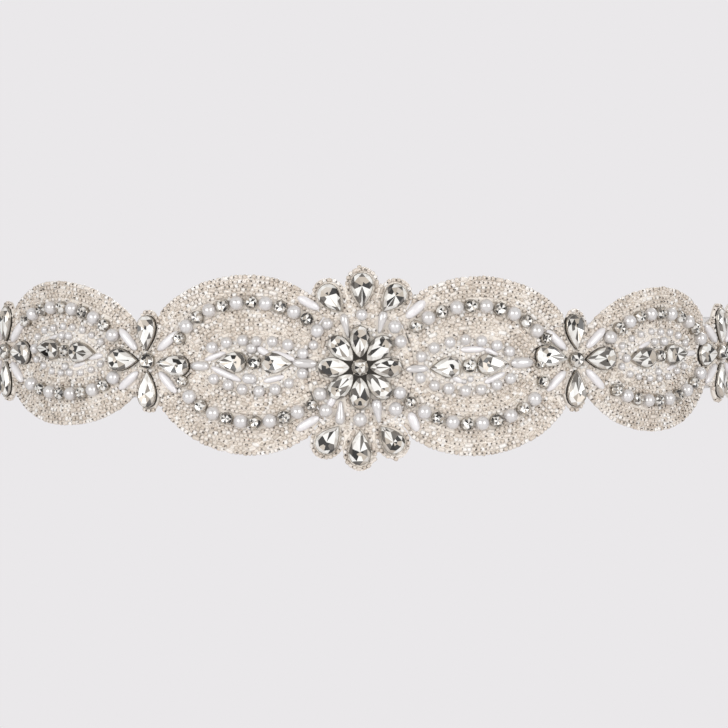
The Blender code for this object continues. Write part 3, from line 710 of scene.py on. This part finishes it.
def medallion():
    layout = medallionLayout
    rosette, fans, plate = layout["rosette"], layout["fans"], layout["plate"]
    stones = [f"rosette_petal_{i + 1}" for i in range(8)] + ["rosette_centre"]
    stones += [f"fan_{where}_{i + 1}" for where in fans for i in range(3)]
    panel = Panel("medallion", medallionShapes(), [], "medallion", stones)
    for i in range(8):
        outline = pearAt(0, 0, 90 - 45 * i, rosette["tip"], rosette["length"], rosette["width"], 20, 0.5)
        panel.stone(outline, claws=(0.35, 0.65), dark=True)
    panel.stone(ellipse(0, 0, rosette["centre"], rosette["centre"], 16), claws=fourClaws, drop=False)
    rounds = np.linspace(0, 2 * math.pi, 64, endpoint=False)
    lobes = (plate["radius"] + plate["lobes"] * np.cos(8 * rounds)) * mm
    rim, foot = ([(r * math.cos(a), r * math.sin(a), plate[level] * mm) for a, r in zip(rounds, lobes)]
                 for level in ("top", "foot"))
    polygons = [list(range(64))] + [[64 + k, 64 + (k + 1) % 64, (k + 1) % 64, k] for k in range(64)]
    # The plate takes slot 1, the same dark colour as the painted shade on the cup walls.
    disc = form(rim + foot, polygons, [1] * 65, False, [0.5] * 65)
    panel.plates.append((disc, {"s": 0, "z": 0, "h": 0}))
    for fan in fans.values():
        for row in layout["fanStones"]:
            turn = fan["opens"] * 90 + row["turn"]
            size = (row["tip"], row["length"], row["width"])
            panel.stone(pearAt(fan["s"], fan["z"], turn, *size, 20), claws=(0.3, 0.7))
            panel.rows.append((pearAt(fan["s"], fan["z"], turn, *size), [-1.12 * mm],
                               {"room": 0.42 * mm, "eyes": 0.75}))
    for s, z, radius in layout["pearls"]:
        panel.pearl(s * mm, z * mm, radius * mm)
    for s, z, radius in layout["rounds"]:
        panel.roundStone(s * mm, z * mm, radius * mm)
    for kind in ("drops", "satins"):
        for row in layout[kind]:
            panel.long(kind, *row)
    for shape in panel.shapes:
        panel.rows.append((shape, [seed["firstRow"] * mm], {
            "keep": lambda spots: panel.depth(spots[:, :2]) < 0.7 * mm}))
    for r in layout["seedRounds"]:
        panel.rows.append((ellipse(0, 0, r * mm, r * mm * 1.02), [0.01 * mm], {}))
    return panel


# A flower: four pears round a round stone, with long satin beads between them
flowerLayout = {
    "outline": [(0.0062, 0.0181), (0.0175, 0.0085), (0.0158, 0.0128)],  # half sizes of its three ellipses
    "tip": 0.0036, "centre": 0.0027,  # from the middle to a petal's tip, and the round stone's radius
    "satins": [  # direction, then distance, length and width in mm
        (43, 10.6, 9.8, 3.2), (137, 10.6, 9.8, 3.2), (223, 10.4, 9.6, 3.1), (317, 10.4, 9.6, 3.1),
    ],
    "bugles": (5.2, 7.5),  # mm under the middle
}
innerStones = {"girdle": 2.9, "table": 4.1}  # heights in mm
outerStones = {
    "girdle": 2.3, "table": 3.3, "rounds": [],
    "petals": [(0, 12.0, 8.4), (90, 12.5, 6.6), (180, 12.0, 8.4), (270, 12.6, 6.6)],
}
flowers = {  # petals: direction, length and width in mm; rounds: the round stones next to the large oval
    "InnerLeft": {
        "s": -0.0754, "z": 0.0006, "nodes": "flower_inner_left", **innerStones,
        "petals": [(-6, 12.2, 7.2), (92, 12.3, 7.0), (180, 12.2, 7.9), (270, 12.6, 6.8)],
        "rounds": [(-63.2, 9.0, 2.1), (-62.2, -5.9, 2.0)],
    },
    "InnerRight": {
        "s": 0.0769, "z": 0.0010, "nodes": "flower_inner_right", **innerStones,
        "petals": [(0, 12.1, 8.1), (93, 12.3, 6.9), (171, 12.1, 7.5), (269, 12.6, 6.9)],
        "rounds": [(65.3, 9.0, 1.9), (63.0, -0.1, 1.5), (64.3, -6.3, 2.1)],
    },
    "OuterLeft": {"s": -0.1445, "z": 0.0008, "nodes": "flower_outer_left", **outerStones},
    "OuterRight": {"s": 0.1500, "z": 0.0, "nodes": "flower_outer_right", **outerStones},
}


def flowerShapes(name):
    at = flowers[name]
    return [ellipse(at["s"], at["z"], wide, tall) for wide, tall in flowerLayout["outline"]]


def flower(name):
    at, layout = flowers[name], flowerLayout
    s, z, node = at["s"], at["z"], at["nodes"]
    stones = [f"{node}_petal_{i + 1}" for i in range(4)] + [node + "_centre"]
    panel = Panel("flower" + name, flowerShapes(name), [], node, stones)
    for turn, length, width in at["petals"]:
        outline = pearAt(s, z, turn, layout["tip"], length * mm, width * mm, 20)
        panel.stone(outline, at["girdle"] * mm, at["table"] * mm, (0.3, 0.5, 0.7), dark=True)
        if 45 < turn % 180 < 135:
            panel.rows.append((outline, [-1.15 * mm], {"room": 0.42 * mm, "eyes": 0.7}))
    centre = layout["centre"]
    panel.stone(ellipse(s, z, centre, centre, 16), claws=fourClaws, drop=False)
    for rs, rz, radius in at["rounds"]:
        panel.roundStone(rs * mm, rz * mm, radius * mm)
    for turn, away, length, width in layout["satins"]:
        spot = turned(np.array([[away * mm, 0]]), turn, s, z)[0] / mm
        panel.long("satins", *spot, turn + random.uniform(-3, 3), length, width)
    for across in (-1, 1):
        for reach in layout["bugles"]:
            where = (s / mm + across * (1.5 + 0.36 * reach), z / mm - reach)
            panel.long("bugles", *where, -90 + across * 20, 2.0, 1.6)
    for k in range(3):
        inset = (seed["firstRow"] + seed["rowPitch"] * k) * mm
        for shape in panel.shapes:
            panel.rows.append((shape, [inset], {
                "keep": lambda spots, limit=inset + 0.5 * mm: panel.depth(spots[:, :2]) < limit}))
    return panel


# An oval: chains of pearls and round stones over and under a trio of stones, in rows of seeds. chain and
# ring are arcs of beads, the ring of smaller pearls nearer the trio. forward is how far along they are moved.
# The lists are s, z, direction, length and width, or s, z and radius, in mm.
beadSizes = {
    "Large": {"pearl": 0.0024, "stone": 0.0023, "inner": 0.00190, "missing": 0.02},
    "Small": {"pearl": 0.0023, "stone": 0.0022, "inner": 0.00135, "missing": 0.10},
    "End": {"pearl": 0.0021, "stone": 0.0018, "inner": 0.00120, "missing": 0.08},
}


def endOval(s, middle, satins):  # both ends are alike
    arc = {"s": middle, "z": 0.0, "forwardUp": 0.0, "forwardDown": 0.0}
    return {
        "outline": {"s": s, "z": 0.0, "up": 0.0200, "back": 0.0290},
        "chain": {**arc, "halfWidth": 0.0190, "up": 0.0118, "down": 0.0118, "count": 7, "pitch": 0.0050},
        "ring": {**arc, "halfWidth": 0.0125, "up": 0.0064, "down": 0.0064, "count": 5, "pitch": 0.0042},
        "trio": {"s": middle, "z": 0.0, "length": 0.0082, "width": 0.0056, "round": 0.0018, "turn": 0},
        "tubes": [], "satins": satins, "pearls": [],
    }


ovals = {
    "LargeLeft": {
        "outline": {"s": -0.0380, "z": 0.0025, "up": 0.0288, "down": 0.0331,
                    "front": 0.0330, "back": 0.0385},
        "chain": {"s": -0.0374, "z": 0.0018, "halfWidth": 0.0280, "up": 0.0203, "down": 0.0211,
                  "count": 11, "pitch": 0.0051, "forwardUp": 0.0, "forwardDown": 0.0014},
        "ring": {"s": -0.0364, "z": 0.0024, "halfWidth": 0.0184, "up": 0.0066, "down": 0.0109,
                 "count": 7, "pitch": 0.0055, "forwardUp": 0.0012, "forwardDown": 0.0016},
        "trio": {"s": -0.0365, "z": 0.0013, "length": 0.0108, "width": 0.0073, "round": 0.0024, "turn": 0},
        "tubes": [(-55.8, -0.4, 0, 6.4, 3.4), (-18.9, 1.3, -2, 8.4, 3.4), (-38.1, -4.3, -6, 5.0, 3.8)],
        "satins": [(-33.3, 5.2, -33, 4.9, 2.6), (-26.4, 3.7, -18, 8.6, 2.5), (-46.5, -2.9, -22, 11.6, 2.5),
                   (-50.4, 3.1, 20, 8.0, 2.2), (-29.6, -4.2, 14, 7.4, 2.2),
                   (-17.6, 22.1, -28, 8.4, 3.2), (-17.9, -19.4, 31, 9.0, 3.2)],
        "pearls": [(-37.4, 6.1, 1.8)],
    },
    "LargeRight": {
        "outline": {"s": 0.0402, "z": -0.0001, "up": 0.0309, "down": 0.0308,
                    "front": 0.0360, "back": 0.0380},
        "chain": {"s": 0.0392, "z": -0.0002, "halfWidth": 0.0272, "up": 0.0211, "down": 0.0197,
                  "count": 11, "pitch": 0.0052, "forwardUp": 0.0009, "forwardDown": 0.0023},
        "ring": {"s": 0.0370, "z": 0.0, "halfWidth": 0.0176, "up": 0.0090, "down": 0.0086,
                 "count": 7, "pitch": 0.0056, "forwardUp": 0.0005, "forwardDown": 0.0006},
        "trio": {"s": 0.0377, "z": 0.0002, "length": 0.0110, "width": 0.0073, "round": 0.0024, "turn": 3},
        "tubes": [(19.6, -0.6, 2, 7.6, 2.8), (56.4, 0.7, 1, 8.0, 4.0)],
        "satins": [(39.0, 5.8, 0, 8.6, 2.4), (45.6, 4.7, -28, 5.0, 2.2), (33.2, -4.2, -30, 5.0, 2.2),
                   (46.8, -4.2, 24, 8.0, 2.3), (19.0, 19.9, 41, 8.6, 3.6), (18.4, -18.8, -68, 7.0, 3.4)],
        "pearls": [(38.2, -4.4, 1.2), (36.0, -5.2, 1.0)],
    },
    "SmallLeft": {
        "outline": {"s": -0.1140, "z": 0.0012, "up": 0.0257, "down": 0.0248,
                    "front": 0.0385, "back": 0.0305},
        "chain": {"s": -0.1118, "z": 0.0004, "halfWidth": 0.0260, "up": 0.0175, "down": 0.0130,
                  "count": 11, "pitch": 0.0050, "forwardUp": 0.0, "forwardDown": -0.0007},
        "ring": {"s": -0.1100, "z": 0.0026, "halfWidth": 0.0172, "up": 0.0086, "down": 0.0080,
                 "count": 8, "pitch": 0.0046, "forwardUp": 0.0006, "forwardDown": -0.0004},
        "trio": {"s": -0.1106, "z": 0.0026, "length": 0.0114, "width": 0.0072, "round": 0.0021, "turn": -2},
        "tubes": [],
        "satins": [(-97.2, 1.2, 10, 6.6, 2.2), (-117.4, 6.6, 24, 5.6, 1.8), (-104.4, -1.9, 18, 5.6, 1.8)],
        "pearls": [(-126.0, 2.6, 1.7), (-108.8, 7.9, 1.5), (-112.0, 7.9, 1.5), (-110.6, -2.9, 1.4)],
    },
    "SmallRight": {
        "outline": {"s": 0.1130, "z": 0.0005, "up": 0.0243, "down": 0.0262,
                    "front": 0.0350, "back": 0.0285},
        "chain": {"s": 0.1114, "z": -0.0006, "halfWidth": 0.0250, "up": 0.0164, "down": 0.0144,
                  "count": 11, "pitch": 0.0049, "forwardUp": -0.0016, "forwardDown": -0.0005},
        "ring": {"s": 0.1112, "z": 0.0008, "halfWidth": 0.0170, "up": 0.0088, "down": 0.0080,
                 "count": 8, "pitch": 0.0046, "forwardUp": 0.0, "forwardDown": 0.0007},
        "trio": {"s": 0.1128, "z": 0.0007, "length": 0.0114, "width": 0.0072, "round": 0.0021, "turn": 2},
        "tubes": [],
        "satins": [(129.4, 0.8, 0, 6.4, 2.2), (106.2, 4.8, 20, 5.4, 1.8), (119.6, -3.6, 16, 5.6, 1.8)],
        "pearls": [(97.6, 0.6, 1.6), (110.4, 5.8, 1.4), (114.9, 5.7, 1.6), (112.4, -4.8, 1.4)],
    },
    "EndLeft": endOval(-0.1705, -0.1745, [(-178.9, 3.6, 26, 6.0, 1.7), (-170.1, -3.6, 26, 6.0, 1.7)]),
    "EndRight": endOval(0.1755, 0.1795, [(183.9, 3.6, -26, 6.0, 1.7), (175.1, -3.6, -26, 6.0, 1.7)]),
}


# Places along the top (side 1) or bottom (side -1) of an arc, from the back end to the front
def arcSpots(arc, side):
    height, forward = (arc["up"], arc["forwardUp"]) if side > 0 else (arc["down"], arc["forwardDown"])
    t = np.linspace(0, math.pi, 2001)
    steps = np.hypot(np.diff(arc["halfWidth"] * np.cos(t)), np.diff(height * np.sin(t)))
    run = np.concatenate([[0], np.cumsum(steps)])
    first = run[-1] / 2 - arc["pitch"] * (arc["count"] - 1) / 2 + forward
    at = np.interp(first + arc["pitch"] * np.arange(arc["count"]), run, t)
    outward = math.copysign(1, arc["s"])
    return [(arc["s"] + outward * arc["halfWidth"] * math.cos(a), arc["z"] + side * height * math.sin(a))
            for a in at]


def oval(name, neighbours):
    kind = name.replace("Left", "").replace("Right", "")
    side = "left" if "Left" in name else "right"
    size, layout = beadSizes[kind], ovals[name]
    chain, ring, trio = layout["chain"], layout["ring"], layout["trio"]
    outline = leaf(layout["outline"]) if kind == "End" else egg(layout["outline"])
    panel = Panel("oval" + name, [outline], neighbours, f"{kind.lower()}_{side}_oval")

    # The trio, its tips outwards
    s, z = trio["s"], trio["z"]
    centre = trio["round"]
    panel.stone(ellipse(s, z, centre, centre, 16), 2.6 * mm, 3.5 * mm, evenClaws, drop=False)
    reach = centre + seamGap + trio["length"]
    for turn, across in ((trio["turn"], -1), (180 + trio["turn"], 1)):
        tip = turned(np.array([[across * reach, 0]]), trio["turn"], s, z)[0]
        drop = turned(pear(trio["length"], trio["width"], 20), turn, *tip)
        panel.stone(drop, 2.7 * mm, 3.9 * mm, (0.32, 0.5, 0.68))
    for word in ("tubes", "satins"):
        for row in layout[word]:
            panel.long(word, *row)
    for ps, pz, radius in layout["pearls"]:
        panel.pearl(ps * mm, pz * mm, radius * mm)

    def hidden(s, z, radius):
        away = min(gapTo([s, z], cut)[0] for cut in neighbours)
        return away < -0.6 * mm or clashes(s, z, radius)

    for up in (1, -1):
        for i, (cs, cz) in enumerate(arcSpots(chain, up)):
            radius = size["stone"] if i % 2 else size["pearl"]
            if hidden(cs, cz, radius):
                continue
            if i % 2:
                panel.roundStone(cs, cz, radius)
            else:
                panel.pearl(cs, cz, radius)
        for cs, cz in arcSpots(ring, up):
            cs, cz = cs + random.normal(0, 0.2 * mm), cz + random.normal(0, 0.25 * mm)
            radius = size["inner"] * random.uniform(0.94, 1.06)
            if not hidden(cs, cz, radius - 0.35 * mm):
                panel.pearl(cs, cz, radius)

    arc = egg({**chain, "front": chain["halfWidth"], "back": chain["halfWidth"]})
    panel.pale = egg({**ring, "front": ring["halfWidth"], "back": ring["halfWidth"]})
    for cut in neighbours:
        panel.rows.append((cut, [-(seamGap + seed["room"])], {}))
    first, pitch = seed["firstRow"], seed["rowPitch"]
    panel.rows.append((outline, [(first + pitch * k) * mm for k in range(12)],
                       {"keep": lambda spots: gapTo(spots[:, :2], arc) > -1.0 * mm, "eyes": 0.6}))
    panel.rows.append((arc, [(3.0 + pitch * k) * mm for k in range(9)],
                       {"skip": size["missing"], "eyes": 0.4}))
    return panel


panels = [medallion()] + [flower(name) for name in flowers]
for side in ("Left", "Right"):
    inner, outer = flowerShapes("Inner" + side), flowerShapes("Outer" + side)
    panels += [oval("Large" + side, medallionShapes() + inner), oval("Small" + side, inner + outer)]
    panels.append(oval("End" + side, outer))
for panel in panels:
    for outline, insets, options in panel.rows:
        for inset in insets:
            for line in insetLine(outline, inset):
                panel.seedRow(line, **options)
    panel.fill()
    finishPanel(panel)

# The ribbon: three lengths of satin, the back two lapped over each other at the centre back
ribbon = {
    "width": 0.025, "outer": -0.0010, "thick": 0.0006, "step": 0.0016, "across": 14,
    "join": 0.1470, "lap": 0.034, "ramp": 0.016, "clear": 0.003, "lapRise": 0.0049,
    "frontCrease": 0.12 * mm, "backCrease": 1.1 * mm,
}


def lapRise(s):
    top = halfRound - ribbon["lap"] / 2 - ribbon["clear"]
    share = np.clip((np.abs(s) - (top - ribbon["ramp"])) / ribbon["ramp"], 0, 1)
    return ribbon["lapRise"] * share * share * (3 - 2 * share)


# One length. hemmed is for a free end, and over for the length whose end lies over the other
def ribbonLength(name, node, start, end, crease, hemmed=True, over=False):
    length = abs(end - start)
    steps, across = int(length / ribbon["step"]), ribbon["across"]
    s = np.linspace(start, end, steps + 1)
    z = np.linspace(-0.5, 0.5, across + 1) * ribbon["width"]
    ss, zz = np.meshgrid(s, z, indexing="ij")
    fade = np.clip(np.minimum(np.abs(ss - start), np.abs(ss - end)) / 0.05, 0, 1) ** 2
    wave = np.sin(ss * 95 + zz * 60) + 0.7 * np.sin(ss * 41 - zz * 140 + 1.3)
    wave = wave + 0.4 * np.sin(ss * 230 + zz * 320)
    ridge = (1 - np.abs(np.sin(ss * 37 + zz * 75 + 0.8))) ** 4
    h = ribbon["outer"] + crease * fade * (0.4 * wave + 1.1 * ridge)
    if over:
        h = h + lapRise(ss)
    edge = zz + 0.15 * mm * fade * np.sin(ss * 70 + 2)
    outer, inner = place(ss, edge, h), place(ss, edge, h - ribbon["thick"])
    points = np.concatenate([outer.reshape(-1, 3), inner.reshape(-1, 3)])
    total, row = (steps + 1) * (across + 1), across + 1
    polygons = []

    def closing(a, onward, flip):  # one face of the rim between the two sides of the cloth
        quad = [a, a + total, a + onward + total, a + onward]
        polygons.append(quad[::-1] if flip else quad)

    for i in range(steps):
        for j in range(across):
            a = i * row + j
            polygons.append([a, a + row, a + row + 1, a + 1])
            polygons.append([a + total, a + 1 + total, a + row + 1 + total, a + row + total])
        closing(i * row, row, False)
        closing(i * row + across, row, True)
    for i, flip in ((0, True), (steps, False)):
        for j in range(across):
            closing(i * row + j, 1, flip)
    if end < start:
        polygons = [p[::-1] for p in polygons]
    piece = build(name, [form(points, polygons, tints=np.full(len(polygons), 0.5))], [satin])

    stitches, order = [], np.argsort(s)
    for edgeZ, column in ((-0.0108, 1), (0.0108, -2)):
        for spot in np.arange(min(start, end) + 0.003, max(start, end) - 0.003, 0.0034):
            lift = np.interp(spot, s[order], h[order, column])
            stitches.append({
                "s": spot, "z": edgeZ, "h": lift + 0.06 * mm, "scale": (1.15 * mm, 0.16 * mm, 0.13 * mm)})
    if hemmed:
        spot = end - math.copysign(0.007, end - start)
        lift = ribbon["outer"] + (lapRise(spot) if over else 0)
        for hemZ in np.arange(-0.0105, 0.0106, 0.0030):
            stitches.append({
                "s": spot, "z": hemZ, "h": lift + 0.06 * mm, "turn": math.pi / 2,
                "scale": (1.05 * mm, 0.16 * mm, 0.13 * mm)})
    sewn = build(name + "Stitches", [scattered(tubeForm, stitches)], [thread])
    for made in (piece, sewn):
        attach(made, "root")
    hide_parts(node)
    print("ribbon", name, "length mm", round(length * 1000, 1))


half = seamGap / 2
join, tail = ribbon["join"], halfRound + ribbon["lap"] / 2
ribbonLength("ribbonFront", "ribbon_front", -join + half, join - half, ribbon["frontCrease"], hemmed=False)
ribbonLength("ribbonLeft", "ribbon_left", -join - half, -tail, ribbon["backCrease"], over=True)
ribbonLength("ribbonRight", "ribbon_right", join + half, tail, ribbon["backCrease"])
for name in ("closure_bar", "closure_hook"):
    bpy.data.objects[name].data.materials.clear()
    bpy.data.objects[name].data.materials.append(nickel)

# The stage: a pale floor, two soft lights in front and a pale studio round them
view = {"distance": 1.25, "elevation": 1.0, "focal": 3625 / 728 * 36, "right": 4 / 728, "up": 3.4 / 728}
lights = {  # degrees, metres and watts
    "softLeft": {"azimuth": -35, "elevation": 13, "distance": 1.6, "size": 1.2, "power": 9},
    "softRight": {"azimuth": 35, "elevation": 12, "distance": 1.6, "size": 1.2, "power": 9},
    "softBack": {"azimuth": 150, "elevation": 45, "distance": 1.8, "size": 0.9, "power": 8},
}
camera = bpy.data.objects.new("camera", bpy.data.cameras.new("camera"))
bpy.context.scene.collection.objects.link(camera)
rise = math.radians(view["elevation"])
away, high = view["distance"] * math.cos(rise), view["distance"] * math.sin(rise)
camera.location = (0, -waist["halfDepth"] - away, high)
camera.rotation_euler = (math.pi / 2 - rise, 0, 0)
camera.data.lens = view["focal"]
camera.data.sensor_width = 36
camera.data.shift_x, camera.data.shift_y = view["right"], view["up"]
camera.data.clip_start, camera.data.clip_end = 0.01, 30
bpy.context.scene.camera = camera

floorMesh = bpy.data.meshes.new("floor")
turns = np.linspace(0, 2 * math.pi, 64, endpoint=False)
floorMesh.from_pydata([(1.3 * math.cos(a), 1.3 * math.sin(a), -0.45) for a in turns], [], [list(range(64))])
floor = bpy.data.objects.new("floor", floorMesh)
bpy.context.scene.collection.objects.link(floor)
floorMesh.materials.append(material("floorPaint", (0.80, 0.79, 0.80), 0.9))


def softLight(name, azimuth, elevation, distance, size, power):
    lamp = bpy.data.lights.new(name, "AREA")
    lamp.shape, lamp.size, lamp.energy = "DISK", size, power
    made = bpy.data.objects.new(name, lamp)
    a, e = math.radians(azimuth), math.radians(elevation)
    where = Vector((math.sin(a) * math.cos(e), -math.cos(a) * math.cos(e), math.sin(e))) * distance
    made.location = where
    made.rotation_euler = (-where).to_track_quat("-Z", "Y").to_euler()
    bpy.context.scene.collection.objects.link(made)


for name, row in lights.items():
    softLight(name, **row)

world = bpy.data.worlds.new("studio")
bpy.context.scene.world = world
world.use_nodes = True
world.node_tree.nodes.clear()
links = world.node_tree.links
out, mix = addNode(world, "ShaderNodeOutputWorld"), addNode(world, "ShaderNodeMixShader")
seen, around = addNode(world, "ShaderNodeBackground"), addNode(world, "ShaderNodeBackground")
path, space = addNode(world, "ShaderNodeLightPath"), addNode(world, "ShaderNodeTexCoord")
cells, shade = addNode(world, "ShaderNodeTexVoronoi"), addNode(world, "ShaderNodeValToRGB")
seen.inputs["Color"].default_value = (0.823, 0.807, 0.823, 1)
cells.inputs["Scale"].default_value = 2.2
shade.color_ramp.interpolation = "CONSTANT"
for at, level in ((0.0, 0.10), (0.22, 0.45), (0.5, 0.70), (0.8, 1.0)):
    element = shade.color_ramp.elements.new(at) if at else shade.color_ramp.elements[0]
    element.color = (level, level * 0.99, level * 0.985, 1)
shade.color_ramp.elements.remove(shade.color_ramp.elements[-1])
links.new(space.outputs["Generated"], cells.inputs["Vector"])
links.new(cells.outputs["Color"], shade.inputs["Fac"])
links.new(shade.outputs["Color"], around.inputs["Color"])
links.new(path.outputs["Is Camera Ray"], mix.inputs["Fac"])
links.new(around.outputs["Background"], mix.inputs[1])
links.new(seen.outputs["Background"], mix.inputs[2])
links.new(mix.outputs["Shader"], out.inputs["Surface"])
bpy.context.scene.view_settings.view_transform = "Standard"
print("stage", len(lights), "lights, floor and studio")
